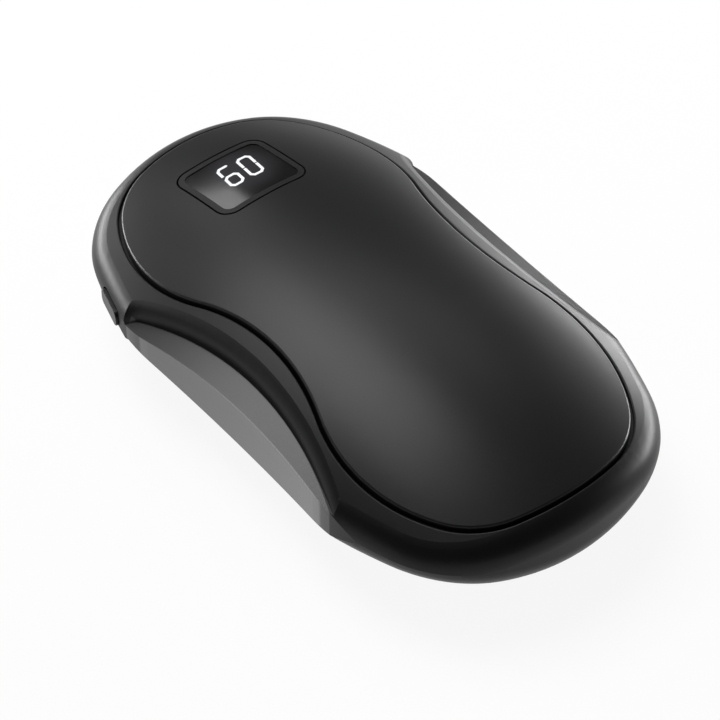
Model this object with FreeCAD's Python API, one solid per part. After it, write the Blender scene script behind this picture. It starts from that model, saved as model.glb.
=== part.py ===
import FreeCAD, Part
import math
import os

V = FreeCAD.Vector

# Rechargeable hand warmer: a pebble of two plastic frames with a heated peanut-shaped plate on each side.
# Millimetres and degrees. +X is the way the display reads, +Y points at the display end, +Z is up.
# While a piece is made, height zero is the parting plane between the two frames.

# Heated plates
plate_length = 89.4
plate_lobe_width = 42.8
plate_lobe_place = 23.05
plate_waist_depth = 4.0
plate_end_radius = 35.6
plate_corner_radius = 14.3
plate_side_radius = 27.0
plate_thickness = 1.2
plate_skirt = 1.4
plate_edge_radius = 0.35
plate_step = 0.3
crown_radius_across = 50.0
crown_radius_along = 146.0
rest_flat_depth = 0.5

# Frames
groove_width = 0.42
groove_depth = 2.0
groove_edge_radius = 0.25
adhesive_thickness = 0.2
adhesive_margin = 0.1
ledge_width = 2.5
frame_web = 1.6
cavity_half_height = 2.5
rim_at_ends = 3.8
rim_at_sides = 8.6
frame_end_radius = 37.5
frame_side_radius = 105.0
frame_corner_radius = 19.0
frame_edge_radius = 4.6
frame_wall = 2.4

# Grip scoops on the long sides
shoulder_width = 4.4
shoulder_radius = 3.0
shoulder_blend = 0.005
shoulder_place = -0.6
scoop_place = -4.4
scoop_reach = 30.3
scoop_wall_radius = 65.6
scoop_end = 22.7
scoop_end_radius = 2.0
scoop_skin = 1.2
scoop_floor = 2.6
scoop_slope = 18.6
scoop_fall_radius = 182.0
scoop_facet_width = 3.8
belt_radius = 165.0
belt_end_radius = 25.0
belt_end_lift = 0.02
belt_wall = 2.0

# Screw posts and screws
post_radius = 3.0
post_inset = 3.4
post_angle = 45.0
screw_radius = 1.0
screw_clearance = 0.15
screw_pilot_clearance = 0.05
screw_head_radius = 1.8
screw_head_height = 1.2
screw_head_clearance = 0.1
screw_tip_gap = 0.6

# Display
display_place = 30.5
display_width = 16.14
display_height = 14.35
display_corner_radius = 2.6
display_gap = 0.3
bezel_width = 0.95
bezel_depth = 3.4
bezel_flange = 1.0
bezel_flange_thickness = 0.9
window_recess = 0.12
window_thickness = 1.0
window_clearance = 0.05
module_thickness = 1.8
ribbon_width = 6.0
ribbon_thickness = 0.3
digit_width = 2.65
digit_height = 5.55
digit_stroke = 0.47
digit_pitch = 3.66
digit_slant = 7.5
digits_right = 0.5
digits_up = 0.88
digit_chamfer = 0.62
digit_break = 0.24
digit_depth = 0.25
digit_rise = 0.02

# Heaters and insulation
heater_inset = 4.0
heater_thickness = 0.3
pad_inset = 5.0
pad_thickness = 1.0
display_room = 0.6
thermistor_length = 3.0
thermistor_width = 1.6
thermistor_depth = 1.0
thermistor_room = 0.6
thermistor_place = -16.0

# Circuit board and what it carries
board_thickness = 1.2
board_margin = 0.4
board_half_width = 21.8
board_post_clearance = 0.25
usb_width = 8.94
usb_height = 3.26
usb_length = 7.3
usb_wall = 0.3
usb_recess = 0.6
usb_clearance = 0.3
usb_tab_width = 1.6
usb_tab_length = 2.0
usb_tab_thickness = 0.3
usb_tongue_width = 6.7
usb_tongue_thickness = 0.7
usb_tongue_length = 4.4
usb_back_thickness = 1.2
usb_back_gap = 0.05
chip_size = 5.0
chip_height = 0.9
inductor_size = 5.6
inductor_height = 2.4
connector_width = 6.0
connector_depth = 3.0
connector_height = 2.2
lead_radius = 0.5
lead_spacing = 2.4
heater_connector_place = 12.5
board_part_row = 5.0

# Battery
tray_wall = 1.2
tray_floor = 1.0
tray_clearance = 0.25
tray_fit = 0.12
tray_flange = 4.6
tray_flange_length = 24.0
tray_flange_thickness = 1.2
tray_lip = 1.0
tray_post_gap = 4.0
cell_clearance = 0.2
cell_edge_radius = 1.2
foam_thickness = 0.5
foam_width = 8.0
board_gap = 0.8

# Power button and its switch
button_place = 28.2
button_length = 6.4
button_height = 2.8
button_corner_radius = 1.0
button_proud = 0.3
button_gap = 0.25
button_travel = 0.25
button_flange = 1.0
button_flange_thickness = 0.8
button_flange_gap = 0.15
button_stem_radius = 0.8
button_stem_length = 0.95
switch_length = 4.8
switch_depth = 2.2
plunger_width = 1.8
plunger_height = 1.2
plunger_proud = 0.9
plunger_seat = 0.7
plunger_gap = 0.15

# Places that follow from the dimensions
plate_half_length = plate_length / 2
plate_lobe_half = plate_lobe_width / 2
plate_waist_half = plate_lobe_half - plate_waist_depth
crown_sag_at_end = plate_half_length ** 2 / (2 * crown_radius_along)
ledge_height = cavity_half_height + frame_web
frame_apex = ledge_height + groove_depth + crown_sag_at_end
plate_apex = frame_apex + plate_step
parting_height = plate_apex - rest_flat_depth
skirt_height = ledge_height + adhesive_thickness
heater_apex = plate_apex - plate_thickness
pad_apex = heater_apex - heater_thickness
inner_apex = pad_apex - pad_thickness
frame_half_length = plate_half_length + rim_at_ends
frame_half_width = plate_lobe_half + rim_at_sides
scoop_wall_x = plate_waist_half + shoulder_width
scoop_edge_height = cavity_half_height + scoop_floor
belt_x = scoop_wall_x + scoop_facet_width
outside = frame_half_length + 10
touching = 0.01
crown_sweep = 2 * math.degrees(math.asin(outside / crown_radius_along)) + 10


def unit(a):
    length = math.hypot(a[0], a[1])
    return (a[0] / length, a[1] / length)


def along(start, direction, distance):
    step = unit(direction)
    return (start[0] + step[0] * distance, start[1] + step[1] * distance)


def between(a, b):
    return (b[0] - a[0], b[1] - a[1])


def meeting(a, reach_a, b, reach_b, pick=max):
    """The point at the given distances from a and b that lies further along +Y, or along -Y with pick=min."""
    gap = math.hypot(b[0] - a[0], b[1] - a[1])
    run = (reach_a ** 2 - reach_b ** 2 + gap ** 2) / (2 * gap)
    rise = math.sqrt(reach_a ** 2 - run ** 2)
    foot = along(a, between(a, b), run)
    side = unit((a[1] - b[1], b[0] - a[0]))
    one = (foot[0] + side[0] * rise, foot[1] + side[1] * rise)
    other = (foot[0] - side[0] * rise, foot[1] - side[1] * rise)
    return pick(one, other, key=lambda p: p[1])


def closed_outline(quarter):
    """A closed wire from the arcs (centre, start, end) of the quarter from the Y axis to the X axis."""
    edges = []
    for sign_x, sign_y in ((1, 1), (1, -1), (-1, -1), (-1, 1)):
        for centre, start, end in quarter:
            radius = math.hypot(start[0] - centre[0], start[1] - centre[1])
            toward = (start[0] + end[0] - 2 * centre[0], start[1] + end[1] - 2 * centre[1])
            points = (start, along(centre, toward, radius), end)
            corners = [V(p[0] * sign_x, p[1] * sign_y, 0) for p in points]
            edges.append(Part.Arc(*corners).toShape())
    return Part.Wire(Part.__sortEdges__(edges))


def plate_centres():
    """Centres of the end, corner, side and waist arcs in one quarter of the plate, and the waist's radius."""
    end = (0, plate_half_length - plate_end_radius)
    side = (plate_lobe_half - plate_side_radius, plate_lobe_place)
    reach = plate_waist_half - side[0]
    waist_radius = (reach ** 2 + plate_lobe_place ** 2 - plate_side_radius ** 2) / (2 * plate_waist_depth)
    end_reach = plate_end_radius - plate_corner_radius
    side_reach = plate_side_radius - plate_corner_radius
    corner = meeting(end, end_reach, side, side_reach)
    return end, corner, side, (plate_waist_half + waist_radius, 0), waist_radius


def plate_outline(offset=0.0):
    end, corner, side, waist, waist_radius = plate_centres()
    top = (0, plate_half_length + offset)
    end_meets_corner = along(corner, between(end, corner), plate_corner_radius + offset)
    corner_meets_side = along(corner, between(side, corner), plate_corner_radius + offset)
    side_meets_waist = along(side, between(side, waist), plate_side_radius + offset)
    middle = (plate_waist_half + offset, 0)
    return closed_outline([
        (end, top, end_meets_corner),
        (corner, end_meets_corner, corner_meets_side),
        (side, corner_meets_side, side_meets_waist),
        (waist, side_meets_waist, middle),
    ])


def frame_outline(offset=0.0):
    end = (0, frame_half_length - frame_end_radius)
    side = (frame_half_width - frame_side_radius, 0)
    end_reach = frame_end_radius - frame_corner_radius
    side_reach = frame_side_radius - frame_corner_radius
    corner = meeting(end, end_reach, side, side_reach)
    end_meets_corner = along(corner, between(end, corner), frame_corner_radius + offset)
    corner_meets_side = along(corner, between(side, corner), frame_corner_radius + offset)
    return closed_outline([
        (end, (0, frame_half_length + offset), end_meets_corner),
        (corner, end_meets_corner, corner_meets_side),
        (side, corner_meets_side, (frame_half_width + offset, 0)),
    ])


def rounded_rectangle(width, height, radius, centre=(0, 0)):
    x, y = width / 2, height / 2
    inner_x, inner_y = x - radius, y - radius
    bend = radius * math.sqrt(0.5)
    corners = []
    for sign_x, sign_y in ((1, 1), (-1, 1), (-1, -1), (1, -1)):
        on_side = V(sign_x * x, sign_y * inner_y, 0)
        middle = V(sign_x * (inner_x + bend), sign_y * (inner_y + bend), 0)
        on_end = V(sign_x * inner_x, sign_y * y, 0)
        corners.append((on_side, middle, on_end) if sign_x * sign_y > 0 else (on_end, middle, on_side))
    edges = []
    for place, (start, middle, end) in enumerate(corners):
        following = corners[(place + 1) % len(corners)][0]
        edges.append(Part.Arc(start, middle, end).toShape())
        edges.append(Part.LineSegment(end, following).toShape())
    wire = Part.Wire(edges)
    wire.translate(V(centre[0], centre[1], 0))
    return wire


def slot_outline(width, height):
    """A slot with half-round ends."""
    radius = height / 2
    x = width / 2 - radius
    return Part.Wire([
        Part.LineSegment(V(-x, -radius, 0), V(x, -radius, 0)).toShape(),
        Part.Arc(V(x, -radius, 0), V(x + radius, 0, 0), V(x, radius, 0)).toShape(),
        Part.LineSegment(V(x, radius, 0), V(-x, radius, 0)).toShape(),
        Part.Arc(V(-x, radius, 0), V(-x - radius, 0, 0), V(-x, -radius, 0)).toShape(),
    ])


def prism(wire, low, high):
    face = Part.Face(wire)
    face.translate(V(0, 0, low))
    return face.extrude(V(0, 0, high - low))


def block(x_low, x_high, y_low, y_high, z_low, z_high):
    return Part.makeBox(x_high - x_low, y_high - y_low, z_high - z_low, V(x_low, y_low, z_low))


def post(radius, low, high, centre):
    return Part.makeCylinder(radius, high - low, V(centre[0], centre[1], low))


def crown(apex):
    """A solid whose top is the gentle double curve of the warmer, with its summit at the apex."""
    half = (frame_half_width + crown_radius_across) / 2
    centre = apex - crown_radius_across
    shoulder = centre + math.sqrt(crown_radius_across ** 2 - half ** 2)
    arch = Part.Arc(V(-half, 0, shoulder), V(0, 0, apex), V(half, 0, shoulder)).toShape()
    sides = Part.makePolygon([
        V(half, 0, shoulder),
        V(half, 0, centre),
        V(-half, 0, centre),
        V(-half, 0, shoulder),
    ])
    section = Part.Face(Part.Wire([arch] + sides.Edges))
    axis = V(0, 0, apex - crown_radius_along)
    section.rotate(axis, V(1, 0, 0), -crown_sweep / 2)
    return section.revolve(axis, V(1, 0, 0), crown_sweep)


def crown_height(apex, x, y):
    ring = crown_radius_along - crown_radius_across + math.sqrt(crown_radius_across ** 2 - x ** 2)
    return apex - crown_radius_along + math.sqrt(ring ** 2 - y ** 2)


def crowned(wire, low, apex):
    return prism(wire, low, apex + 1).common(crown(apex))


def layer(wire, apex, thickness):
    """A sheet of even thickness that follows the crown."""
    return crowned(wire, 0, apex).cut(crown(apex - thickness))


def turned_over(shape):
    return shape.rotated(V(0, 0, 0), V(0, 1, 0), 180)


def both_sides(shape):
    return shape.fuse(shape.mirror(V(0, 0, 0), V(1, 0, 0)))


def top_edges(shape, apex):
    """The edges round the crowned face."""
    summit = Part.Vertex(V(0, 0, apex))
    face = min(shape.Faces, key=lambda f: f.distToShape(summit)[0])
    return face.Edges


def screw_places():
    _, corner, _, _, _ = plate_centres()
    turn = math.radians(post_angle)
    reach = plate_corner_radius - post_inset
    x = corner[0] + reach * math.cos(turn)
    y = corner[1] + reach * math.sin(turn)
    return [(x, y), (-x, y), (-x, -y), (x, -y)]


def scoop_wall(growth):
    """The room in front of the scoop's upright back wall on +X, rounded into its far end and grown all round."""
    tall = plate_apex + 5
    centre = V(scoop_wall_x + scoop_wall_radius, shoulder_place, -tall)
    room = Part.makeCylinder(scoop_wall_radius + growth, 2 * tall, centre)
    room = room.common(block(0, centre.x, -outside, scoop_end + growth, -tall, tall))
    corner = V(scoop_wall_x, scoop_end + growth, 0)
    upright = [edge for edge in room.Edges if edge.BoundBox.ZLength > tall]
    corner_edge = min(upright, key=lambda e: e.distToShape(Part.Vertex(corner))[0])
    return room.makeFillet(scoop_end_radius, [corner_edge])


def shoulder():
    """The part of the case that stays above and behind the scoop on +X, with a rounded brow."""
    brow_apex = frame_apex + shoulder_blend
    room = scoop_wall(0)
    body = block(0, frame_half_width + 8, -outside, outside, -1, plate_apex + 5)
    body = body.common(crown(brow_apex)).cut(room)
    brow = []
    for edge in body.Edges:
        middle = edge.valueAt((edge.FirstParameter + edge.LastParameter) / 2)
        off_crown = abs(middle.z - crown_height(brow_apex, middle.x, middle.y))
        if max(off_crown, Part.Vertex(middle).distToShape(room)[0]) < touching:
            brow.append(edge)
    return body.makeFillet(shoulder_radius, brow)


def dish(drop):
    """The room above the scoop's sloping ledge on +X, let down by a drop."""
    tall = plate_apex + 5
    far = frame_half_width + 8
    inner = scoop_wall_x - shoulder_width
    fall = math.tan(math.radians(scoop_slope))
    section = Part.Face(Part.makePolygon([
        V(inner, 0, tall),
        V(inner, 0, scoop_edge_height + fall * (scoop_wall_x - inner)),
        V(far, 0, scoop_edge_height - fall * (far - scoop_wall_x)),
        V(far, 0, tall),
        V(inner, 0, tall),
    ]))
    axis = V(0, 0, scoop_edge_height - scoop_fall_radius)
    sweep = math.degrees(math.asin(scoop_reach / scoop_fall_radius))
    section.rotate(axis, V(1, 0, 0), -sweep)
    room = section.revolve(axis, V(1, 0, 0), 2 * sweep)
    room.translate(V(0, scoop_place, -drop))
    return room


def scoop():
    """What the grip scoop on +X takes out of the upper half of the case."""
    return dish(0).cut(shoulder()).fuse(belt_cutter())


def belt_cutter():
    """What the scoop's hollow upright belt takes away, with ends that turn softly out into the case's side."""
    belt_centre = (belt_x + belt_radius, scoop_place)
    side_centre = (frame_half_width - frame_side_radius, 0)
    side_radius = frame_side_radius + belt_end_lift
    bends = []
    for pick in (max, min):
        centre = meeting(
            side_centre, side_radius - belt_end_radius, belt_centre, belt_radius + belt_end_radius, pick
        )
        on_side = along(side_centre, between(side_centre, centre), side_radius)
        on_belt = along(belt_centre, between(belt_centre, centre), belt_radius)
        chord = ((on_side[0] + on_belt[0]) / 2, (on_side[1] + on_belt[1]) / 2)
        middle = along(centre, between(centre, chord), belt_end_radius)
        clear = along(on_side, between(side_centre, centre), outside)
        bends.append([V(p[0], p[1], -outside) for p in (clear, on_side, middle, on_belt)])
    far, near = bends
    deepest = V(belt_x, scoop_place, -outside)
    wire = Part.Wire([
        Part.LineSegment(far[0], far[1]).toShape(),
        Part.Arc(far[1], far[2], far[3]).toShape(),
        Part.Arc(far[3], deepest, near[3]).toShape(),
        Part.Arc(near[3], near[2], near[1]).toShape(),
        Part.LineSegment(near[1], near[0]).toShape(),
        Part.LineSegment(near[0], far[0]).toShape(),
    ])
    return Part.Face(wire).extrude(V(0, 0, 2 * outside))


def belt_inside():
    """The belt's line inside the case, a wall's thickness behind it."""
    centre = V(belt_x + belt_radius, scoop_place, -outside)
    return Part.makeCylinder(belt_radius + belt_wall, 2 * outside, centre)


def usb_opening():
    wire = slot_outline(usb_width + 2 * usb_clearance, usb_height + 2 * usb_clearance)
    return along_y(wire, frame_half_length - usb_length, outside)


def along_y(wire, low, high):
    """A wire drawn flat is stood up across the Y axis and drawn out between two places on it."""
    solid = prism(wire, 0, high - low)
    solid.rotate(V(0, 0, 0), V(1, 0, 0), 90)
    solid.translate(V(0, high, 0))
    return solid


def on_button_side(shape):
    """Carries a shape from the button's own axes, with its Z outward, to its place on the case's -X side."""
    lean = math.asin(button_place / frame_side_radius)
    outward = V(-math.cos(lean), math.sin(lean), 0)
    centre = V(frame_side_radius - frame_half_width, 0, 0) + outward * frame_side_radius
    turn = FreeCAD.Rotation(V(-outward.y, outward.x, 0) * -1, V(0, 0, 1), outward, "ZXY")
    placed = shape.copy()
    placed.Placement = FreeCAD.Placement(centre, turn).multiply(shape.Placement)
    return placed


def button_hole():
    return on_button_side(prism(rounded_rectangle(
        button_length + 2 * button_gap,
        button_height + 2 * button_gap,
        button_corner_radius + button_gap,
    ), -frame_wall - 1, button_proud + 1))


def groove_edges(shell):
    """The edges where the crowned rim meets the groove."""
    line = plate_outline(groove_width)
    found = []
    for edge in shell.Edges:
        middle = edge.valueAt((edge.FirstParameter + edge.LastParameter) / 2)
        off_rim = abs(middle.z - crown_height(frame_apex, middle.x, middle.y))
        off_line = Part.Vertex(V(middle.x, middle.y, 0)).distToShape(line)[0]
        if max(off_rim, off_line) < touching:
            found.append(edge)
    return found


def half_case():
    """The shell that both frames share, before their screw holes and openings."""
    shell = crowned(frame_outline(), -outside, frame_apex)
    shell = shell.makeFillet(frame_edge_radius, top_edges(shell, frame_apex))
    shell = shell.common(block(-outside, outside, -outside, outside, 0, outside))
    shell = shell.cut(both_sides(scoop()))
    seat = prism(plate_outline(groove_width), ledge_height, plate_apex)
    mouth = prism(plate_outline(-ledge_width), -1, plate_apex)
    cavity = prism(frame_outline(-frame_wall), -1, cavity_half_height).cut(both_sides(belt_inside()))
    cavity = cavity.cut(both_sides(dish(scoop_skin).common(scoop_wall(scoop_skin))))
    shell = shell.cut(seat)
    shell = shell.makeFillet(groove_edge_radius, groove_edges(shell))
    shell = shell.cut(cavity).cut(mouth)
    for place in screw_places():
        shell = shell.fuse(post(post_radius, 0, ledge_height, place))
    return shell.removeSplitter()


def upper_frame():
    frame = half_case()
    for place in screw_places():
        frame = frame.cut(post(screw_radius + screw_pilot_clearance, -1, cavity_half_height, place))
    return frame.cut(usb_opening()).cut(button_hole())


def lower_frame():
    frame = turned_over(half_case())
    sink = screw_head_height + screw_head_clearance
    for place in screw_places():
        frame = frame.cut(post(screw_radius + screw_clearance, -outside, 1, place))
        head_room = post(screw_head_radius + screw_head_clearance, -outside, sink - ledge_height, place)
        frame = frame.cut(head_room)
    return frame.cut(usb_opening()).cut(button_hole())


def case_screws():
    head_top = screw_head_height + screw_head_clearance - ledge_height
    tip = cavity_half_height - screw_tip_gap
    screws = []
    for place in screw_places():
        head = post(screw_head_radius, head_top - screw_head_height, head_top, place)
        screws.append(head.fuse(post(screw_radius, head_top, tip, place)))
    return Part.makeCompound(screws)


def half_plate():
    plate = crowned(plate_outline(), skirt_height, plate_apex)
    plate = plate.makeFillet(plate_edge_radius, top_edges(plate, plate_apex))
    return plate.cut(crowned(plate_outline(-plate_skirt), 0, heater_apex))


def display_prism(grow, low_apex, high_apex, foot=None):
    """A solid of the display's rounded outline between two crowned heights, or down to a flat foot."""
    width, height = display_width + 2 * grow, display_height + 2 * grow
    wire = rounded_rectangle(width, height, display_corner_radius + grow, (0, display_place))
    solid = crowned(wire, 0 if foot is None else foot, high_apex)
    return solid if low_apex is None else solid.cut(crown(low_apex))


def top_plate():
    return half_plate().cut(display_prism(0, None, plate_apex + 1))


def bottom_plate():
    plate = turned_over(half_plate())
    floor = plate_apex - rest_flat_depth
    return plate.cut(block(-outside, outside, -outside, outside, -floor - outside, -floor))


def plate_adhesive():
    ring = prism(plate_outline(-adhesive_margin), ledge_height, skirt_height)
    return ring.cut(prism(plate_outline(adhesive_margin - plate_skirt), 0, plate_apex))


def display_bezel():
    ring = display_prism(-display_gap, plate_apex - bezel_depth, plate_apex)
    flange_top = plate_apex - plate_thickness
    ring = ring.fuse(display_prism(bezel_flange, flange_top - bezel_flange_thickness, flange_top))
    return ring.cut(display_prism(-display_gap - bezel_width, None, plate_apex + 1)).removeSplitter()


def window_top():
    return plate_apex - window_recess


def leaning(centre, outline):
    """An outline moved to a centre, with its top leaning to the right like slanted numerals."""
    lean = math.tan(math.radians(digit_slant))
    return [(centre[0] + px + lean * py, centre[1] + py) for px, py in outline]


def nought_outlines(centre):
    """The lit strokes of a nought, as two facing arches, around a centre."""
    x, y = digit_width / 2, digit_height / 2
    cut = digit_chamfer
    inner_x, inner_y = x - digit_stroke, y - digit_stroke
    inner_cut = cut - digit_stroke * (2 - math.sqrt(2))
    low = digit_break / 2
    arch = [
        (-x, low), (-x, y - cut), (cut - x, y), (x - cut, y), (x, y - cut), (x, low),
        (inner_x, low), (inner_x, inner_y - inner_cut), (inner_x - inner_cut, inner_y),
        (inner_cut - inner_x, inner_y), (-inner_x, inner_y - inner_cut), (-inner_x, low),
    ]
    return [leaning(centre, [(px, sign * py) for px, py in arch]) for sign in (1, -1)]


def six_outlines(centre):
    """The lit strokes of a six: the hook at the top, and the ring below as an outer and an inner outline."""
    x, y = digit_width / 2, digit_height / 2
    cut = digit_chamfer
    inner_x, inner_y = x - digit_stroke, y - digit_stroke
    inner_cut = cut - digit_stroke * (2 - math.sqrt(2))
    bar = digit_stroke / 2
    low = bar + digit_break
    hook = [
        (-x, low), (-x, y - cut), (cut - x, y), (x - cut, y), (x - cut + bar, y - bar), (x - cut, inner_y),
        (inner_cut - inner_x, inner_y), (-inner_x, inner_y - inner_cut), (-inner_x, low),
    ]
    ring = [
        (-x, bar - cut), (cut - x, bar), (x - cut, bar), (x, bar - cut),
        (x, cut - y), (x - cut, -y), (cut - x, -y), (-x, cut - y),
    ]
    hole = [
        (-inner_x, -bar - inner_cut), (inner_cut - inner_x, -bar), (inner_x - inner_cut, -bar),
        (inner_x, -bar - inner_cut), (inner_x, inner_cut - inner_y), (inner_x - inner_cut, -inner_y),
        (inner_cut - inner_x, -inner_y), (-inner_x, inner_cut - inner_y),
    ]
    return [leaning(centre, outline) for outline in (hook, ring, hole)]


def polygon_face(points):
    corners = [V(p[0], p[1], 0) for p in points]
    return Part.Face(Part.makePolygon(corners + corners[:1]))


def digit_faces():
    row = display_place + digits_up
    hook, ring, hole = six_outlines((digits_right - digit_pitch / 2, row))
    arches = nought_outlines((digits_right + digit_pitch / 2, row))
    six = [polygon_face(hook), polygon_face(ring).cut(polygon_face(hole))]
    return six + [polygon_face(arch) for arch in arches]


def digit_prisms():
    return [face.extrude(V(0, 0, plate_apex)) for face in digit_faces()]


def display_digits():
    lit = window_top() + digit_rise
    strokes = []
    for column in digit_prisms():
        strokes += column.common(crown(lit)).cut(crown(window_top() - digit_depth)).Solids
    return Part.makeCompound(strokes)


def display_window():
    shrink = -display_gap - bezel_width - window_clearance
    window = display_prism(shrink, window_top() - window_thickness, window_top())
    for column in digit_prisms():
        window = window.cut(column.cut(crown(window_top() - digit_depth)))
    return window


def display_module():
    shrink = -display_gap - bezel_width - window_clearance
    top = window_top() - window_thickness
    return display_prism(shrink, top - module_thickness, top)


def board_top():
    return board_thickness - cavity_half_height


def display_ribbon():
    apex = window_top() - window_thickness - module_thickness
    strip = block(
        -ribbon_width / 2, ribbon_width / 2,
        display_place - ribbon_thickness / 2, display_place + ribbon_thickness / 2,
        board_top(), plate_apex,
    )
    return strip.common(crown(apex))


def display_cutter():
    """The room that heater and pad leave for the display."""
    return display_prism(bezel_flange + display_room, None, plate_apex + 1)


def heater_film():
    return layer(plate_outline(-heater_inset), heater_apex, heater_thickness)


def thermistor_box(room, low, high):
    half_length = thermistor_length / 2 + room
    half_width = thermistor_width / 2 + room
    y_low, y_high = thermistor_place - half_width, thermistor_place + half_width
    return block(-half_length, half_length, y_low, y_high, low, high)


def heater_lead_places():
    """Where the four heater leads run: one pair up to the top film, one pair down to the bottom film."""
    y = board_near_edge() + connector_depth / 2 + board_margin
    middle = heater_connector_place
    return [(middle - lead_spacing / 2, y), (middle + lead_spacing / 2, y)]


def insulation_pad():
    pad = layer(plate_outline(-pad_inset), pad_apex, pad_thickness)
    pad = pad.cut(thermistor_box(thermistor_room, 0, plate_apex))
    for place in heater_lead_places():
        pad = pad.cut(post(2 * lead_radius, 0, plate_apex, place))
    return pad


def top_heater_film():
    return heater_film().cut(display_cutter())


def top_insulation_pad():
    """The pad's room for the display is open to the pad's end, which leaves no thin strip there."""
    open_end = display_cutter().translated(V(0, display_height / 2, 0))
    return insulation_pad().cut(display_cutter()).cut(open_end)


def thermistors():
    bead = thermistor_box(0, 0, plate_apex).common(crown(pad_apex)).cut(crown(pad_apex - thermistor_depth))
    return Part.makeCompound([bead, turned_over(bead)])


def heater_leads():
    leads = []
    for place in heater_lead_places():
        lead = post(lead_radius, board_top() + connector_height, plate_apex, place)
        leads.append(lead.common(crown(pad_apex)))
        below = post(lead_radius, cavity_half_height + connector_height, plate_apex, place)
        mirrored = below.common(crown(pad_apex)).mirror(V(0, 0, 0), V(0, 0, 1))
        leads.append(mirrored)
    return Part.makeCompound(leads)


def heater_connectors():
    y = heater_lead_places()[0][1]
    x_low = heater_connector_place - connector_width / 2
    x_high = heater_connector_place + connector_width / 2
    y_low, y_high = y - connector_depth / 2, y + connector_depth / 2
    upper = block(x_low, x_high, y_low, y_high, board_top(), board_top() + connector_height)
    lower = block(x_low, x_high, y_low, y_high, -cavity_half_height - connector_height, -cavity_half_height)
    return Part.makeCompound([upper, lower])


def tray_half_width():
    return plate_waist_half - ledge_width - tray_fit


def tray_near_end():
    """The tray stops short of the screw posts at the near end."""
    return post_radius + tray_post_gap - screw_places()[0][1]


def tray_far_end():
    return board_near_edge() - board_gap


def board_near_edge():
    """The board reaches from the display's end of the case to the near side of the display."""
    return display_place - display_height


def tray_bottom():
    corner = crown_height(inner_apex, tray_half_width(), tray_near_end())
    return tray_clearance - corner


def cell_bottom():
    return tray_bottom() + tray_floor + foam_thickness


def cell_box():
    half = tray_half_width() - tray_wall - cell_clearance
    low = tray_near_end() + tray_wall + cell_clearance
    high = tray_far_end() - tray_wall - cell_clearance
    return half, low, high


def battery_lead_places():
    return (-lead_spacing / 2, lead_spacing / 2)


def battery_tray():
    half = tray_half_width()
    low, high = tray_near_end(), tray_far_end()
    lip = board_top() + connector_height + tray_lip
    tray = block(-half, half, low, high, tray_bottom(), lip)
    inner = half - tray_wall
    floor = tray_bottom() + tray_floor
    tray = tray.cut(block(-inner, inner, low + tray_wall, high - tray_wall, floor, outside))
    wing = half + tray_flange
    reach = tray_flange_length / 2
    seat = -cavity_half_height
    for side in (-1, 1):
        x_low, x_high = sorted((side * half, side * wing))
        tray = tray.fuse(block(x_low, x_high, -reach, reach, seat, seat + tray_flange_thickness))
    notch = lead_spacing / 2 + 2 * lead_radius
    notch_floor = lead_height() - 2 * lead_radius
    tray = tray.cut(block(-notch, notch, high - 2 * tray_wall, high + 1, notch_floor, outside))
    return tray.removeSplitter()


def lead_height():
    return board_top() + connector_height / 2


def battery_cell():
    half, low, high = cell_box()
    cell = block(-half, half, low, high, cell_bottom(), -cell_bottom())
    long_edges = [e for e in cell.Edges if abs(e.tangentAt(e.FirstParameter).y) > 0.5]
    return cell.makeFillet(cell_edge_radius, long_edges)


def foam_strips():
    half, low, high = cell_box()
    under = cell_bottom() - foam_thickness
    inner = half - tray_wall
    strips = []
    for y in (low + foam_width, high - foam_width):
        strips.append(block(-inner, inner, y - foam_width / 2, y + foam_width / 2, under, cell_bottom()))
    return Part.makeCompound(strips)


def battery_connector():
    y_low = board_near_edge() + board_margin
    half = connector_width / 2
    return block(-half, half, y_low, y_low + connector_depth, board_top(), board_top() + connector_height)


def battery_leads():
    _, _, start = cell_box()
    end = board_near_edge() + board_margin
    leads = []
    for x in battery_lead_places():
        leads.append(Part.makeCylinder(lead_radius, end - start, V(x, start, lead_height()), V(0, 1, 0)))
    return Part.makeCompound(leads)


def usb_front():
    return frame_half_length - usb_recess


def circuit_board():
    near, far = board_near_edge(), frame_half_length
    board = block(-board_half_width, board_half_width, near, far, -cavity_half_height, board_top())
    board = board.common(prism(frame_outline(-frame_wall - board_margin), -cavity_half_height, board_top()))
    for place in screw_places():
        board = board.cut(post(post_radius + board_post_clearance, -outside, outside, place))
    slot = usb_width / 2 + board_margin
    board = board.cut(block(-slot, slot, usb_front() - usb_length - board_margin, outside, -outside, outside))
    reach = button_length / 2 + button_flange + board_margin
    behind = button_flange_front() - button_flange_thickness - button_travel - board_margin
    return board.cut(on_button_side(block(-reach, reach, -outside, outside, behind, outside)))


def usb_socket_shell():
    back = usb_front() - usb_length
    outer = slot_outline(usb_width, usb_height)
    inner = slot_outline(usb_width - 2 * usb_wall, usb_height - 2 * usb_wall)
    shell = along_y(outer, back, usb_front()).cut(along_y(inner, back + usb_wall, outside))
    reach = usb_width / 2 + board_margin + usb_tab_width
    middle = back + usb_length / 3
    tab = block(
        -reach, reach, middle - usb_tab_length / 2, middle + usb_tab_length / 2,
        board_top(), board_top() + usb_tab_thickness,
    )
    tab = tab.cut(along_y(inner, back - 1, outside))
    return shell.fuse(tab).removeSplitter()


def usb_socket_tongue():
    back = usb_front() - usb_length + usb_wall
    room = usb_wall + usb_back_gap
    base = slot_outline(usb_width - 2 * room, usb_height - 2 * room)
    tongue = along_y(base, back, back + usb_back_thickness)
    half = usb_tongue_width / 2
    blade = block(
        -half, half, back, back + usb_back_thickness + usb_tongue_length,
        -usb_tongue_thickness / 2, usb_tongue_thickness / 2,
    )
    return tongue.fuse(blade).removeSplitter()


def board_part(size, height, x, y):
    half = size / 2
    return block(x - half, x + half, y - half, y + half, board_top(), board_top() + height)


def board_row():
    return board_near_edge() + connector_depth + board_part_row


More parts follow.
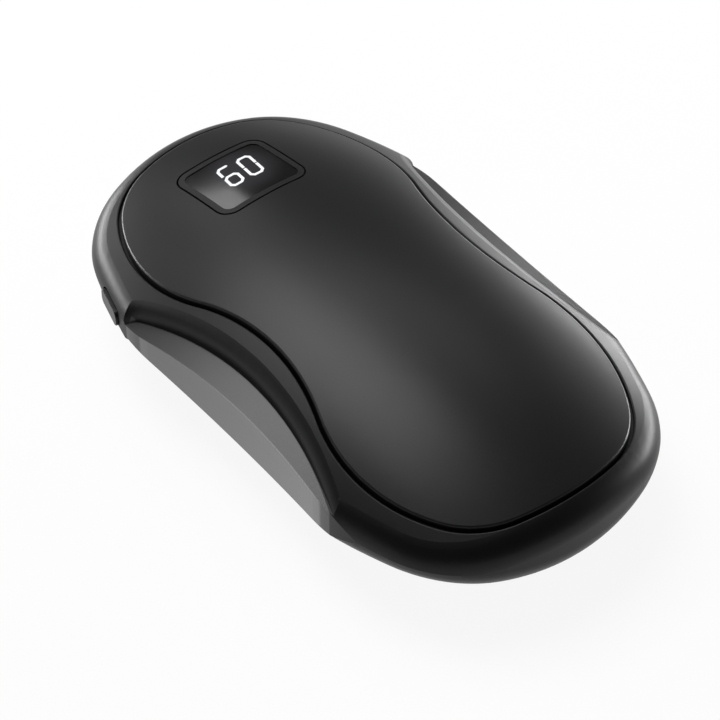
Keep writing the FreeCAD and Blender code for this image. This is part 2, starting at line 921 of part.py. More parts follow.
def control_chip():
    return board_part(chip_size, chip_height, ribbon_width + chip_size / 2, board_row())


def charge_inductor():
    return board_part(inductor_size, inductor_height, -ribbon_width - inductor_size / 2, board_row())


def button_flange_front():
    return -frame_wall - button_flange_gap


def button_stem_end():
    return button_flange_front() - button_flange_thickness - button_stem_length


def power_button():
    cap = prism(rounded_rectangle(button_length, button_height, button_corner_radius),
                button_flange_front() - button_flange_thickness / 2, button_proud)
    cap = cap.makeFillet(button_proud / 2, top_edges(cap, button_proud))
    flange_height = 2 * (cavity_half_height - button_gap)
    flange = prism(rounded_rectangle(button_length + 2 * button_flange, flange_height, button_corner_radius),
                   button_flange_front() - button_flange_thickness, button_flange_front())
    stem = post(button_stem_radius, button_stem_end(), button_flange_front(), (0, 0))
    return on_button_side(cap.fuse(flange).fuse(stem).removeSplitter())


def switch_front():
    return button_stem_end() - plunger_proud


def plunger_block(grow, low, high):
    half_x, half_y = plunger_width / 2 + grow, plunger_height / 2 + grow
    return block(-half_x, half_x, -half_y, half_y, low, high)


def switch_body():
    half = switch_length / 2
    front = switch_front()
    body = block(-half, half, board_top(), -board_top(), front - switch_depth, front)
    room = plunger_seat + button_travel + plunger_gap
    return on_button_side(body.cut(plunger_block(plunger_gap, front - room, front + 1)))


def switch_plunger():
    return on_button_side(plunger_block(0, switch_front() - plunger_seat, button_stem_end()))


pieces = {
    "top_plate": top_plate(),
    "bottom_plate": bottom_plate(),
    "upper_frame": upper_frame(),
    "lower_frame": lower_frame(),
    "case_screws": case_screws(),
    "top_plate_adhesive": plate_adhesive(),
    "bottom_plate_adhesive": turned_over(plate_adhesive()),
    "display_bezel": display_bezel(),
    "display_window": display_window(),
    "display_digits": display_digits(),
    "display_module": display_module(),
    "display_ribbon": display_ribbon(),
    "top_heater_film": top_heater_film(),
    "bottom_heater_film": turned_over(heater_film()),
    "top_insulation_pad": top_insulation_pad(),
    "bottom_insulation_pad": insulation_pad().mirror(V(0, 0, 0), V(0, 0, 1)),
    "thermistors": thermistors(),
    "heater_connectors": heater_connectors(),
    "heater_leads": heater_leads(),
    "battery_cell": battery_cell(),
    "battery_tray": battery_tray(),
    "battery_foam": foam_strips(),
    "battery_connector": battery_connector(),
    "battery_leads": battery_leads(),
    "circuit_board": circuit_board(),
    "usb_socket_shell": usb_socket_shell(),
    "usb_socket_tongue": usb_socket_tongue(),
    "control_chip": control_chip(),
    "charge_inductor": charge_inductor(),
    "power_button": power_button(),
    "switch_body": switch_body(),
    "switch_plunger": switch_plunger(),
}

os.makedirs("parts", exist_ok=True)
for name, shape in pieces.items():
    raised = shape.copy()
    raised.translate(V(0, 0, parting_height))
    raised.exportStep("parts/" + name + ".step")
    print(name, len(raised.Solids), "solids", round(raised.Volume, 1), "mm3", raised.isValid())
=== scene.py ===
import math

import bpy
from bpy.props import (
    FloatProperty,
    FloatVectorProperty,
    IntProperty,
    PointerProperty,
)
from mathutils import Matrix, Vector


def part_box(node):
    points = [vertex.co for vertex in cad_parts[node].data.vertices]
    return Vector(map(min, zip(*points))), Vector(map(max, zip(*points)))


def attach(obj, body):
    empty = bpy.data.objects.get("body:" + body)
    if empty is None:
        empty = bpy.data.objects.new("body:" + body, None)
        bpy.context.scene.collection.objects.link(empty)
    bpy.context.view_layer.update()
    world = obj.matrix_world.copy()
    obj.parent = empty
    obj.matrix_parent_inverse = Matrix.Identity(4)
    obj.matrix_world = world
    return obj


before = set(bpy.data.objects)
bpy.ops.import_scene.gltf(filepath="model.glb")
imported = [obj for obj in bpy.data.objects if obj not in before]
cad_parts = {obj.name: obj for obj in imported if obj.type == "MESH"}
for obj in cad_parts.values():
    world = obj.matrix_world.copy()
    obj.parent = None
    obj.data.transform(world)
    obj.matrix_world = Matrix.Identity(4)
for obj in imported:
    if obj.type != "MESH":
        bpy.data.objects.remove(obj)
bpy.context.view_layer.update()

bl_info = {
    "name": "Hand Warmer",
    "version": (1, 0, 0),
    "blender": (4, 5, 0),
    "location": "3D View > Sidebar > Hand Warmer",
    "description": "Finishes and stage for a rechargeable hand warmer built on its CAD frame",
    "category": "Object",
}


# Shader maths


class Value:
    """One output of a material's nodes; arithmetic on it adds Math nodes."""

    def __init__(self, finish, socket):
        self.finish = finish
        self.socket = socket

    def maths(self, operation, first, second):
        return self.finish.node("ShaderNodeMath", {"operation": operation}, {0: first, 1: second})

    def __add__(self, other):
        return self.maths("ADD", self, other)

    __radd__ = __add__

    def __sub__(self, other):
        return self.maths("SUBTRACT", self, other)

    def __rsub__(self, other):
        return self.maths("SUBTRACT", other, self)

    def __mul__(self, other):
        return self.maths("MULTIPLY", self, other)

    __rmul__ = __mul__

    def __truediv__(self, other):
        return self.maths("DIVIDE", self, other)

    def __rtruediv__(self, other):
        return self.maths("DIVIDE", other, self)

    def __abs__(self):
        return self.maths("ABSOLUTE", self, 0.0)


class Finish:
    """A material while it is made: its nodes, and the shader that they feed."""

    def __init__(self, name):
        self.material = bpy.data.materials.new(name)
        self.material.use_nodes = True
        self.tree = self.material.node_tree
        self.shader = self.tree.nodes["Principled BSDF"]
        self.output = self.tree.nodes["Material Output"]

    def node(self, kind, settings=None, sockets=None, output=0):
        """Adds a node of this type, sets it up, fills its sockets and gives one of its outputs."""
        made = self.tree.nodes.new(kind)
        for name, setting in (settings or {}).items():
            setattr(made, name, setting)
        for key, value in (sockets or {}).items():
            self.fill(made.inputs[key], value)
        return Value(self, made.outputs[output])

    def fill(self, socket, value):
        if isinstance(value, Value):
            self.tree.links.new(value.socket, socket)
        elif hasattr(value, "__len__") and socket.type == "RGBA":
            socket.default_value = (*value[:3], 1.0)
        else:
            socket.default_value = value

    def set(self, **sockets):
        """Fills the shader's sockets, named with underscores for spaces."""
        for name, value in sockets.items():
            self.fill(self.shader.inputs[name.replace("_", " ")], value)
        return self

    def place(self):
        """The point on the piece, in metres from the frame's origin."""
        return self.node("ShaderNodeTexCoord", output="Object")

    def axes(self):
        split = self.node("ShaderNodeSeparateXYZ", None, {0: self.place()}).socket.node
        return [Value(self, out) for out in split.outputs]

    def noise(self, size, detail=2.0, stretch=(1.0, 1.0, 1.0)):
        """Noise from 0 to 1 whose grains are about this size in metres."""
        where = self.node(
            "ShaderNodeVectorMath", {"operation": "MULTIPLY"}, {0: self.place(), 1: stretch}
        )
        return self.node(
            "ShaderNodeTexNoise",
            None,
            {"Vector": where, "Scale": 1.0 / size, "Detail": detail, "Roughness": 0.55},
        )

    def cells(self, size):
        """Distance from the middle of cells of about this size in metres."""
        return self.node(
            "ShaderNodeTexVoronoi", None, {"Vector": self.place(), "Scale": 1.0 / size}
        )

    def blend(self, factor, first, second):
        """One colour turning into another."""
        return self.node(
            "ShaderNodeMix", {"data_type": "RGBA"}, {0: factor, 6: first, 7: second}, output=2
        )

    def mottle(self, factor, tone, darkest, lightest):
        """A colour that wanders between these shares of itself."""
        return self.blend(factor, shade(tone, darkest), shade(tone, lightest))

    def fade(self, value, start, end):
        """0 below start, 1 above end, smooth between them."""
        return self.node(
            "ShaderNodeMapRange",
            {"interpolation_type": "SMOOTHSTEP"},
            {"Value": value, "From Min": start, "From Max": end},
        )

    def root(self, value):
        return self.node("ShaderNodeMath", {"operation": "SQRT"}, {0: value})

    def zigzag(self, value, width):
        """Rises and falls between 0 and this width."""
        return self.node("ShaderNodeMath", {"operation": "PINGPONG"}, {0: value, 1: width})

    def hollow(self, along, radius):
        """How far an arc has turned away from its middle."""
        return radius - self.root(radius**2 - along * along)

    def dents(self, height, depth):
        """A normal for a relief of this depth in metres."""
        return self.node("ShaderNodeBump", None, {"Height": height, "Distance": depth, "Strength": 1.0})


def shade(colour, amount):
    """The colour made darker or lighter by a factor."""
    return tuple(min(1.0, part * amount) for part in colour[:3])


def dress(names, material):
    """Gives carried-over CAD nodes their finish."""
    for name in names:
        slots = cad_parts[name].material_slots
        if not slots:
            raise RuntimeError(f"{name} has no place for a material")
        for slot in slots:
            slot.material = material


# Sizes and colours


def colour(name, description, default):
    return FloatVectorProperty(
        name=name,
        description=description,
        default=default,
        subtype="COLOR",
        size=3,
        min=0.0,
        max=1.0,
    )


def length(name, description, default):
    return FloatProperty(
        name=name,
        description=description,
        default=default,
        unit="LENGTH",
        subtype="DISTANCE",
        precision=5,
    )


def share(name, description, default):
    return FloatProperty(
        name=name, description=description, default=default, subtype="FACTOR", min=0.0, max=1.0
    )


def power(name, description, default):
    return FloatProperty(name=name, description=description, default=default, min=0.0, unit="POWER")


class PlateFinish(bpy.types.PropertyGroup):
    colour: colour("Colour", "Colour of the heated plates", (0.0080, 0.0080, 0.0082))
    roughness: share("Roughness", "Roughness of the blasted and anodised plates", 0.34)
    gloss: share("Gloss", "Strength of the plates' reflection", 0.22)
    grain_size: length("Grain size", "Size of the blasted grain", 0.00022)
    grain_depth: length("Grain depth", "Depth of the blasted grain", 0.000006)


class CaseFinish(bpy.types.PropertyGroup):
    colour: colour("Colour", "Colour of the satin case", (0.0030, 0.0030, 0.0031))
    roughness: share("Roughness", "Roughness of the satin case", 0.40)
    gloss: share("Gloss", "Strength of the case's reflection", 0.20)
    grip_colour: colour("Grip colour", "Colour of the textured grip scoops", (0.012, 0.012, 0.0121))
    grip_roughness: share("Grip roughness", "Roughness of the grip scoops", 0.30)
    grip_coat: share("Grip coat", "Weight of the soft clear coat on the ledges of the scoops", 0.32)
    grain_size: length("Grain size", "Size of the moulded grain on the grips", 0.00032)
    grain_depth: length("Grain depth", "Depth of the moulded grain on the grips", 0.000018)
    belt_coat: share("Belt coat", "Weight of the soft clear coat on the scoops' upright belts", 1.0)
    belt_line: length("Belt line", "Half width of the case at the middle of a belt", 0.0256)
    belt_radius: length("Belt radius", "Radius of a belt, seen from above", 0.165)
    belt_place: length("Belt place", "Middle of the belts along the case", -0.0044)
    scoop_wall: length("Scoop wall", "Half width of the case at the middle of a scoop", 0.0218)
    scoop_radius: length("Scoop radius", "Radius of a scoop's wall, seen from above", 0.0656)
    scoop_place: length("Scoop place", "Middle of the scoops along the case", -0.0006)
    scoop_end: length("Scoop end", "End of the scoops by the button", 0.0227)
    edge_near: length("Edge near", "Least distance from an edge at which a finish changes", 0.00004)
    edge_far: length("Edge far", "Greatest distance from an edge at which it changes", 0.00012)
    wall_far: length("Wall far", "Greatest distance from a scoop's wall at which it changes", 0.00016)
    rim_grain_size: length("Rim grain size", "Size of the fine grain on the rim", 0.0002)
    rim_grain_depth: length("Rim grain depth", "Depth of the fine grain on the rim", 0.000004)


class DisplayFinish(bpy.types.PropertyGroup):
    bezel_colour: colour("Bezel colour", "Colour of the window's ring", (0.0045, 0.0045, 0.0047))
    window_colour: colour("Window colour", "Colour of the smoked window", (0.0025, 0.0025, 0.0028))
    digit_colour: colour("Digit colour", "Colour of the lit digits", (0.94, 0.96, 1.0))
    digits_middle: FloatVectorProperty(
        name="Digits' middle",
        description="Middle of the digits in the window",
        default=(0.0005, 0.0314),
        subtype="TRANSLATION",
        unit="LENGTH",
        size=2,
        precision=5,
    )
    spill_colour: colour("Spill colour", "Digits' light in the window", (0.030, 0.030, 0.033))
    spill_start: length("Spill start", "Radius at which the digits' light begins to fade", 0.0015)
    spill_end: length("Spill end", "Radius at which the digits' light has gone", 0.0075)
    digit_strength: FloatProperty(
        name="Digit strength", description="How strongly the digits glow", default=1.0, min=0.0
    )


class SocketSizes(bpy.types.PropertyGroup):
    contact_count: IntProperty(
        name="Contacts", description="Contacts on each face of the tongue", default=12, min=1
    )
    contact_pitch: length("Contact pitch", "Distance from contact to contact", 0.0005)
    contact_width: length("Contact width", "Width of a contact", 0.00026)
    contact_length: length("Contact length", "Length of a contact", 0.0031)
    contact_rise: length("Contact rise", "Height of a contact above the tongue", 0.00004)
    contact_inset: length("Contact inset", "Distance from the tongue's tip to the contacts", 0.0004)
    tongue_thickness: length("Tongue thickness", "Thickness of the tongue", 0.0007)
    colour: colour("Contact colour", "Colour of the gilt contacts", (0.72, 0.50, 0.20))


class InnerColours(bpy.types.PropertyGroup):
    film: colour("Film", "Colour of the heater films", (0.36, 0.15, 0.03))
    trace: colour("Trace", "Colour of the heater traces", (0.55, 0.29, 0.16))
    felt: colour("Felt", "Colour of the insulation pads", (0.62, 0.59, 0.52))
    rubber: colour("Rubber", "Colour of the adhesive and foam", (0.035, 0.035, 0.037))
    sleeve: colour("Sleeve", "Colour of the leads' sleeves", (0.42, 0.03, 0.025))
    cell: colour("Cell", "Colour of the cell's wrap", (0.52, 0.55, 0.60))
    board: colour("Board", "Colour of the circuit board", (0.012, 0.10, 0.040))
    dark_plastic: colour("Dark plastic", "Colour of the dark inner plastic", (0.020, 0.020, 0.022))
    white_plastic: colour("White plastic", "Colour of the connectors", (0.74, 0.72, 0.66))
    steel: colour("Steel", "Colour of the bare steel", (0.56, 0.56, 0.57))
    ferrite: colour("Ferrite", "Colour of the inductor", (0.06, 0.06, 0.062))


class StageSettings(bpy.types.PropertyGroup):
    camera_place: FloatVectorProperty(
        name="Camera place",
        description="Where the camera stands",
        default=(-0.192595, -0.241314, 0.337860),
        subtype="TRANSLATION",
        unit="LENGTH",
        size=3,
    )
    camera_turn: FloatVectorProperty(
        name="Camera turn",
        description="Way the camera faces",
        default=(math.radians(43.0699), 0.0, math.radians(-38.3715)),
        subtype="EULER",
        unit="ROTATION",
        size=3,
    )
    lens: FloatProperty(
        name="Lens", description="Focal length on a 36 mm sensor", default=153.378, unit="CAMERA"
    )
    floor_radius: length("Floor radius", "Radius of the floor", 3.0)
    floor_drop: length("Floor drop", "How far the floor lies under the object", 0.00005)
    lamp_aim: length("Lamp aim", "Height that the lamps face", 0.013)
    floor_colour: colour("Floor colour", "Colour of the floor", (0.9, 0.9, 0.9))
    floor_glow: share("Floor glow", "Share of plain white in the floor's look", 0.9)
    top_light: power("Top light", "Power of the softbox high behind the object", 7.4)
    right_light: power("Right light", "Power of the softbox behind on the right", 1.1)
    back_light: power("Back light", "Power of the small softbox behind the display", 0.42)
    right_strip: power("Right strip", "Power of the low strip on the right", 3.4)
    left_strip: power("Left strip", "Power of the low strip behind on the left", 2.7)
    world_light: FloatProperty(
        name="World light",
        description="Strength of the light from all round",
        default=0.11,
        min=0.0,
    )


class HandWarmer(bpy.types.PropertyGroup):
    plates: PointerProperty(type=PlateFinish)
    case: PointerProperty(type=CaseFinish)
    display: PointerProperty(type=DisplayFinish)
    socket: PointerProperty(type=SocketSizes)
    inner: PointerProperty(type=InnerColours)
    stage: PointerProperty(type=StageSettings)


# Finishes


def satin_plastic(name, tone, roughness, grain=0.00025, depth=0.000004, gloss=0.5):
    """Fine spark-eroded plastic: a little mottle in tone and gloss, and a shallow grain."""
    finish = Finish(name)
    grains = finish.noise(grain, 3.0)
    patches = finish.noise(0.006, 3.0)
    finish.set(
        Base_Color=finish.mottle(patches, tone, 0.88, 1.12),
        Roughness=roughness - 0.03 + 0.06 * patches + 0.02 * grains,
        Specular_IOR_Level=gloss,
        Normal=finish.dents(grains, depth),
    )
    return finish


def bare_metal(name, tone, roughness, stretch):
    """Drawn or turned metal: fine lines one way, and a cloudy gloss."""
    finish = Finish(name)
    lines = finish.noise(0.0004, 2.0, stretch)
    cloud = finish.noise(0.003, 2.0)
    finish.set(
        Base_Color=finish.mottle(lines, tone, 0.86, 1.1),
        Metallic=1.0,
        Roughness=roughness + 0.12 * cloud + 0.06 * lines,
        Normal=finish.dents(lines, 0.000004),
    )
    return finish


class HANDWARMER_OT_plates(bpy.types.Operator):
    """Finish the heated plates: dark anodised metal with a fine blasted grain"""

    bl_idname = "hand_warmer.plates"
    bl_label = "Heated Plates"

    def execute(self, context):
        look = context.scene.hand_warmer.plates
        finish = Finish("heated_plate_satin")
        tone = tuple(look.colour)
        grain = finish.noise(look.grain_size, 2.0)
        cloud = finish.noise(0.012, 3.0)
        speckle = 0.75 * grain + 0.25 * cloud
        finish.set(
            Base_Color=finish.mottle(speckle, tone, 0.82, 1.18),
            Roughness=look.roughness - 0.03 + 0.04 * cloud + 0.03 * grain,
            Specular_IOR_Level=look.gloss,
            Normal=finish.dents(grain, look.grain_depth),
        )
        dress(["top_plate", "bottom_plate"], finish.material)
        return {"FINISHED"}


class HANDWARMER_OT_case(bpy.types.Operator):
    """Finish the two frames: satin black, with a coated and moulded grain in the grip scoops"""

    bl_idname = "hand_warmer.case"
    bl_label = "Case"

    def execute(self, context):
        look = context.scene.hand_warmer.case
        finish = Finish("case_satin_black")
        x, y, _ = finish.axes()
        near, far = look.edge_near, look.edge_far
        wall = finish.hollow(y - look.scoop_place, look.scoop_radius) + look.scoop_wall
        line = finish.hollow(y - look.belt_place, look.belt_radius) + look.belt_line
        open_end = 1.0 - finish.fade(y - look.scoop_end, -far, -near)
        grip = finish.fade(abs(x) - wall, near, look.wall_far) * open_end
        belt = finish.fade(abs(x) - line, -far, -near)
        fine = finish.noise(look.rim_grain_size, 2.0)
        grain = finish.noise(look.grain_size, 3.0)
        cloud = finish.noise(0.008, 3.0)
        rim_colour = finish.mottle(cloud, tuple(look.colour), 0.85, 1.15)
        grip_colour = finish.mottle(0.7 * grain + 0.3 * cloud, tuple(look.grip_colour), 0.70, 1.30)
        rim_roughness = look.roughness - 0.02 + 0.04 * cloud
        grip_roughness = look.grip_roughness - 0.05 + 0.10 * grain
        depth = look.grain_depth
        relief = fine * (1.0 - grip) * (look.rim_grain_depth / depth) + grain * grip
        finish.set(
            Base_Color=finish.blend(grip, rim_colour, grip_colour),
            Roughness=rim_roughness * (1.0 - grip) + grip_roughness * grip,
            Specular_IOR_Level=look.gloss,
            Coat_Weight=grip * (look.grip_coat + (look.belt_coat - look.grip_coat) * belt),
            Coat_Roughness=look.grip_roughness,
            Normal=finish.dents(relief, depth),
        )
        dress(["upper_frame", "lower_frame"], finish.material)
        return {"FINISHED"}


class HANDWARMER_OT_display(bpy.types.Operator):
    """Finish the display: satin bezel, smoked gloss window and lit digits"""

    bl_idname = "hand_warmer.display"
    bl_label = "Display"

    def execute(self, context):
        look = context.scene.hand_warmer.display
        gloss = context.scene.hand_warmer.plates.gloss
        bezel = satin_plastic("bezel_satin", tuple(look.bezel_colour), 0.40, gloss=gloss)
        dress(["display_bezel"], bezel.material)

        window = Finish("window_smoked_gloss")
        tone = tuple(look.window_colour)
        haze = window.noise(0.004, 3.0)
        x, y, _ = window.axes()
        across, up = x - look.digits_middle[0], y - look.digits_middle[1]
        off = window.root(across * across + up * up)
        spill = (1.0 - window.fade(off, look.spill_start, look.spill_end)) * (0.75 + 0.5 * haze)
        window.set(
            Base_Color=window.mottle(haze, tone, 0.8, 1.2),
            Roughness=0.12 + 0.06 * haze,
            Normal=window.dents(haze, 0.000002),
            Emission_Color=window.blend(spill, (0.0, 0.0, 0.0), tuple(look.spill_colour)),
            Emission_Strength=1.0,
        )
        dress(["display_window"], window.material)

        digits = Finish("digits_lit_white")
        tone = tuple(look.digit_colour)
        glow = digits.noise(0.0012, 2.0)
        digits.set(
            Base_Color=shade(tone, 0.03),
            Roughness=0.45 + 0.1 * glow,
            Emission_Color=digits.mottle(glow, tone, 0.95, 1.03),
            Emission_Strength=look.digit_strength,
        )
        dress(["display_digits"], digits.material)

        module = satin_plastic("module_dark_plastic", (0.018, 0.018, 0.02), 0.55)
        dress(["display_module"], module.material)
        return {"FINISHED"}


class HANDWARMER_OT_button(bpy.types.Operator):
    """Finish the power button and its switch"""

    bl_idname = "hand_warmer.button"
    bl_label = "Button"

    def execute(self, context):
        case = context.scene.hand_warmer.case
        inner = context.scene.hand_warmer.inner
        tone = shade(tuple(case.colour), 1.4)
        button = satin_plastic("button_satin_black", tone, 0.34, gloss=case.gloss)
        dress(["power_button"], button.material)
        plunger = satin_plastic("plunger_dark_plastic", tuple(inner.dark_plastic), 0.5)
        dress(["switch_plunger"], plunger.material)
        can = bare_metal("switch_pressed_steel", tuple(inner.steel), 0.28, (0.1, 1.0, 1.0))
        dress(["switch_body"], can.material)
        return {"FINISHED"}


def contact_tree(material):
    """Rows of flat contacts with rounded ends, one row on each face of the tongue."""
    tree = bpy.data.node_groups.new("socket_contacts", "GeometryNodeTree")
    tree.interface.new_socket("Geometry", in_out="OUTPUT", socket_type="NodeSocketGeometry")
    for name, kind in (
        ("Count", "NodeSocketInt"),
        ("Pitch", "NodeSocketFloat"),
        ("Width", "NodeSocketFloat"),
        ("Length", "NodeSocketFloat"),
        ("Rise", "NodeSocketFloat"),
        ("Half Thickness", "NodeSocketFloat"),
        ("Middle", "NodeSocketVector"),
    ):
        tree.interface.new_socket(name, in_out="INPUT", socket_type=kind)
    nodes, links = tree.nodes, tree.links

    def add(kind, settings=None, sockets=None):
        made = nodes.new(kind)
        for name, setting in (settings or {}).items():
            setattr(made, name, setting)
        for key, value in (sockets or {}).items():
            if isinstance(value, bpy.types.NodeSocket):
                links.new(value, made.inputs[key])
            else:
                made.inputs[key].default_value = value
        return made

    def maths(operation, first, second):
        return add("ShaderNodeMath", {"operation": operation}, {0: first, 1: second}).outputs[0]

    given = add("NodeGroupInput").outputs
    outline = add(
        "GeometryNodeCurvePrimitiveQuadrilateral",
        None,
        {"Width": given["Width"], "Height": given["Length"]},
    ).outputs[0]
    rounded = add(
        "GeometryNodeFilletCurve",
        {"mode": "POLY"},
        {"Curve": outline, "Count": 3, "Radius": maths("MULTIPLY", given["Width"], 0.45)},
    ).outputs[0]
    face = add("GeometryNodeFillCurve", {"mode": "NGONS"}, {"Curve": rounded}).outputs[0]
    raised = add(
        "GeometryNodeExtrudeMesh",
        None,
        {"Mesh": face, "Offset Scale": given["Rise"], "Individual": False},
    ).outputs[0]
    under = add("GeometryNodeFlipFaces", None, {"Mesh": face}).outputs[0]
    open_pad = add("GeometryNodeJoinGeometry").inputs[0]
    links.new(raised, open_pad)
    links.new(under, open_pad)
    pad = add(
        "GeometryNodeMergeByDistance",
        None,
        {"Geometry": open_pad.node.outputs[0], "Distance": 1e-6},
    ).outputs[0]
    span = maths("MULTIPLY", maths("SUBTRACT", given["Count"], 1), given["Pitch"])
    start = add(
        "ShaderNodeCombineXYZ",
        None,
        {0: maths("MULTIPLY", span, -0.5), 2: given["Half Thickness"]},
    ).outputs[0]
    step = add("ShaderNodeCombineXYZ", None, {0: given["Pitch"]}).outputs[0]
    row = add(
        "GeometryNodeMeshLine",
        {"mode": "OFFSET"},
        {"Count": given["Count"], "Start Location": start, "Offset": step},
    ).outputs[0]
    upper = add("GeometryNodeInstanceOnPoints", None, {"Points": row, "Instance": pad}).outputs[0]
    lower = add(
        "GeometryNodeTransform", None, {"Geometry": upper, "Rotation": (0.0, math.pi, 0.0)}
    ).outputs[0]
    both = add("GeometryNodeJoinGeometry").inputs[0]
    links.new(upper, both)
    links.new(lower, both)
    placed = add(
        "GeometryNodeTransform",
        None,
        {"Geometry": both.node.outputs[0], "Translation": given["Middle"]},
    ).outputs[0]
    solid = add("GeometryNodeRealizeInstances", None, {"Geometry": placed}).outputs[0]
    painted = add("GeometryNodeSetMaterial", None, {"Geometry": solid, "Material": material})
    links.new(painted.outputs[0], add("NodeGroupOutput").inputs[0])
    return tree


def grown(name, tree, values, body):
    """Runs a node tree with these named inputs and keeps its result as a plain mesh on a body."""
    seed = bpy.data.objects.new(name + "_tree", bpy.data.meshes.new(name + "_seed"))
    bpy.context.scene.collection.objects.link(seed)
    modifier = seed.modifiers.new("Build", "NODES")
    modifier.node_group = tree
    for item in tree.interface.items_tree:
        if item.in_out == "INPUT" and item.name in values:
            modifier[item.identifier] = values[item.name]
    depsgraph = bpy.context.evaluated_depsgraph_get()
    mesh = bpy.data.meshes.new_from_object(seed.evaluated_get(depsgraph))
    bpy.data.objects.remove(seed)
    if not mesh.polygons:
        raise RuntimeError(f"{name} came out empty")
    mesh.name = name
    piece = bpy.data.objects.new(name, mesh)
    bpy.context.scene.collection.objects.link(piece)
    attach(piece, body)
    return piece


class HANDWARMER_OT_socket(bpy.types.Operator):
    """Finish the charging socket and lay its gilt contacts"""

    bl_idname = "hand_warmer.socket"
    bl_label = "Charging Socket"

    def execute(self, context):
        sizes = context.scene.hand_warmer.socket
        inner = context.scene.hand_warmer.inner
        shell = bare_metal("socket_drawn_steel", tuple(inner.steel), 0.26, (1.0, 0.08, 1.0))
        dress(["usb_socket_shell"], shell.material)
        tongue = satin_plastic("tongue_dark_plastic", tuple(inner.dark_plastic), 0.48)
        dress(["usb_socket_tongue"], tongue.material)
        gilt = bare_metal("contact_gilt", tuple(sizes.colour), 0.22, (1.0, 0.1, 1.0))
        low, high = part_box("usb_socket_tongue")
        middle = (low + high) / 2
        middle.y = high.y - sizes.contact_inset - sizes.contact_length / 2
        grown(
            "socket_contacts",
            contact_tree(gilt.material),
            {
                "Count": sizes.contact_count,
                "Pitch": sizes.contact_pitch,
                "Width": sizes.contact_width,
                "Length": sizes.contact_length,
                "Rise": sizes.contact_rise,
                "Half Thickness": sizes.tongue_thickness / 2,
                "Middle": middle,
            },
            "case",
        )
        return {"FINISHED"}


class HANDWARMER_OT_heaters(bpy.types.Operator):
    """Finish the heater films, insulation pads, adhesive, thermistors and heater leads"""

    bl_idname = "hand_warmer.heaters"
    bl_label = "Heaters"

    def execute(self, context):
        inner = context.scene.hand_warmer.inner
        film = Finish("heater_amber_film")
        x, _, _ = film.axes()
        trace = film.fade(film.zigzag(x, 0.0012), 0.00066, 0.00074)
        ripple = film.noise(0.003, 2.0)
        sheet = film.mottle(ripple, tuple(inner.film), 0.85, 1.15)
        film.set(
            Base_Color=film.blend(trace, sheet, tuple(inner.trace)),
            Metallic=trace * 0.8,
            Roughness=0.3 + 0.15 * ripple,
            Normal=film.dents(trace + 0.3 * ripple, 0.00002),
        )
        dress(["top_heater_film", "bottom_heater_film", "display_ribbon"], film.material)

        felt = Finish("insulation_pale_felt")
        fibres = felt.noise(0.0006, 5.0, (1.0, 0.35, 1.0))
        felt.set(
            Base_Color=felt.mottle(fibres, tuple(inner.felt), 0.75, 1.2),
            Roughness=0.9 + 0.08 * fibres,
            Normal=felt.dents(fibres, 0.00012),
        )
        dress(["top_insulation_pad", "bottom_insulation_pad"], felt.material)

        rubber = Finish("adhesive_soft_rubber")
        pores = rubber.cells(0.0005)
        rubber.set(
            Base_Color=rubber.mottle(pores, tuple(inner.rubber), 0.7, 1.3),
            Roughness=0.75 + 0.15 * pores,
            Normal=rubber.dents(pores, 0.00004),
        )
        dress(["top_plate_adhesive", "bottom_plate_adhesive", "battery_foam"], rubber.material)

        bead = satin_plastic("thermistor_dark_bead", tuple(inner.dark_plastic), 0.3, 0.0004)
        dress(["thermistors"], bead.material)
        sleeve = satin_plastic("lead_red_sleeve", tuple(inner.sleeve), 0.45, 0.0005, 0.00001)
        dress(["heater_leads", "battery_leads"], sleeve.material)
        return {"FINISHED"}


class HANDWARMER_OT_battery(bpy.types.Operator):
    """Finish the cell and the tray that holds it"""

    bl_idname = "hand_warmer.battery"
    bl_label = "Battery"

    def execute(self, context):
        inner = context.scene.hand_warmer.inner
        wrap = Finish("cell_foil_wrap")
        creases = wrap.noise(0.004, 4.0, (1.0, 0.4, 1.0))
        wrap.set(
            Base_Color=wrap.mottle(creases, tuple(inner.cell), 0.85, 1.1),
            Metallic=0.6,
            Roughness=0.32 + 0.18 * creases,
            Normal=wrap.dents(creases, 0.00012),
        )
        dress(["battery_cell"], wrap.material)
        tray = satin_plastic("tray_dark_plastic", tuple(inner.dark_plastic), 0.52, 0.0004, 0.00001)
        dress(["battery_tray"], tray.material)
        return {"FINISHED"}


class HANDWARMER_OT_board(bpy.types.Operator):
    """Finish the circuit board, the parts on it and the case screws"""

    bl_idname = "hand_warmer.board"
    bl_label = "Circuit Board"

    def execute(self, context):
        inner = context.scene.hand_warmer.inner
        board = Finish("board_green_mask")
        x, y, _ = board.axes()
        tracks = board.fade(board.zigzag(x + y, 0.0006), 0.00034, 0.0004)
        weave = board.noise(0.0003, 2.0)
        board.set(
            Base_Color=board.mottle(0.6 * tracks + 0.4 * weave, tuple(inner.board), 0.8, 1.6),
            Roughness=0.32 + 0.12 * weave,
            Normal=board.dents(tracks + 0.2 * weave, 0.00002),
        )
        dress(["circuit_board"], board.material)
        chip = satin_plastic("chip_dark_epoxy", tuple(inner.dark_plastic), 0.5, 0.0003, 0.00001)
        dress(["control_chip"], chip.material)
        core = satin_plastic("inductor_ferrite", tuple(inner.ferrite), 0.7, 0.0003, 0.00003)
        dress(["charge_inductor"], core.material)
        nylon = satin_plastic("connector_white_nylon", tuple(inner.white_plastic), 0.42, 0.0005)
        dress(["heater_connectors", "battery_connector"], nylon.material)
        screws = bare_metal("screw_turned_steel", tuple(inner.steel), 0.3, (1.0, 1.0, 0.2))
        dress(["case_screws"], screws.material)
        return {"FINISHED"}


# Stage


